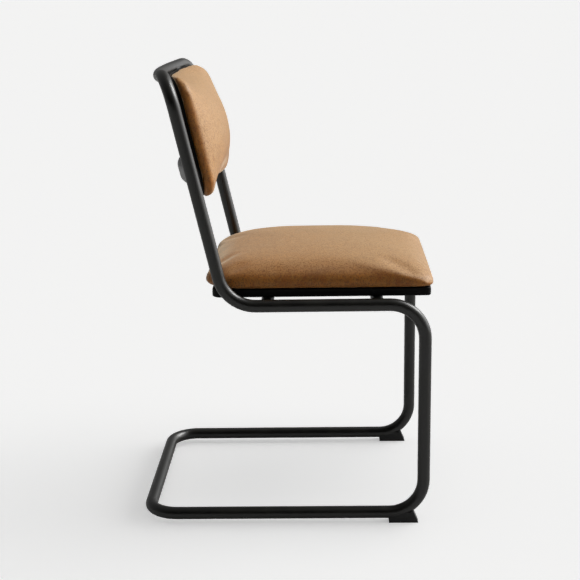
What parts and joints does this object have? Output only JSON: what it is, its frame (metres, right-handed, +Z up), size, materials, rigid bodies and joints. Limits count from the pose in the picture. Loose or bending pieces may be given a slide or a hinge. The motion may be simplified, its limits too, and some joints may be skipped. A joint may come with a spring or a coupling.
{
  "type": "cantilever dining chair",
  "caption": "Cantilever dining chair: bent black tube frame in one line, cushioned leather seat on a black board, and a low curved leather back pad between the uprights.",
  "frame": {"origin": "on the floor, under the middle of the chair's bounding box", "axes": "+Z up, +X forward, the way the sitter faces, +Y to the sitter's left"},
  "size_m": [0.5208, 0.434, 0.796],
  "materials": {
    "frame_steel": "satin black powder coat",
    "plain_steel": "plain tube, unseen",
    "zinc_steel": "bright zinc plate",
    "black_bolt": "black oxide",
    "black_ply": "black lacquer on plywood",
    "plywood": "raw plywood, unseen",
    "foam": "cut foam, unseen",
    "leather": "tan leather with a soft fine grain",
    "black_plastic": "moulded, matt"
  },
  "bodies": {
    "root": {"frame_half_right": "frame_steel", "frame_half_left": "frame_steel", "top_joint_sleeve": "plain_steel", "base_joint_sleeve": "plain_steel", "lower_back_rail": "frame_steel", "front_seat_crossbar": "frame_steel", "rear_seat_crossbar": "frame_steel", "back_lugs": "frame_steel", "seat_board": "black_ply", "seat_inner_panel": "plywood", "seat_foam": "foam", "seat_cover": "leather", "seat_bolts": "black_bolt", "seat_tee_nuts": "zinc_steel", "seat_staples": "zinc_steel", "back_board": "black_ply", "back_inner_panel": "plywood", "back_foam": "foam", "back_cover": "leather", "back_upper_bolts": "black_bolt", "back_lower_bolts": "black_bolt", "back_tee_nuts": "zinc_steel", "back_staples": "zinc_steel", "front_glide_right": "black_plastic", "front_glide_left": "black_plastic", "rear_glide_right": "black_plastic", "rear_glide_left": "black_plastic", "glide_screws": "zinc_steel"}
  },
  "joints": []
}
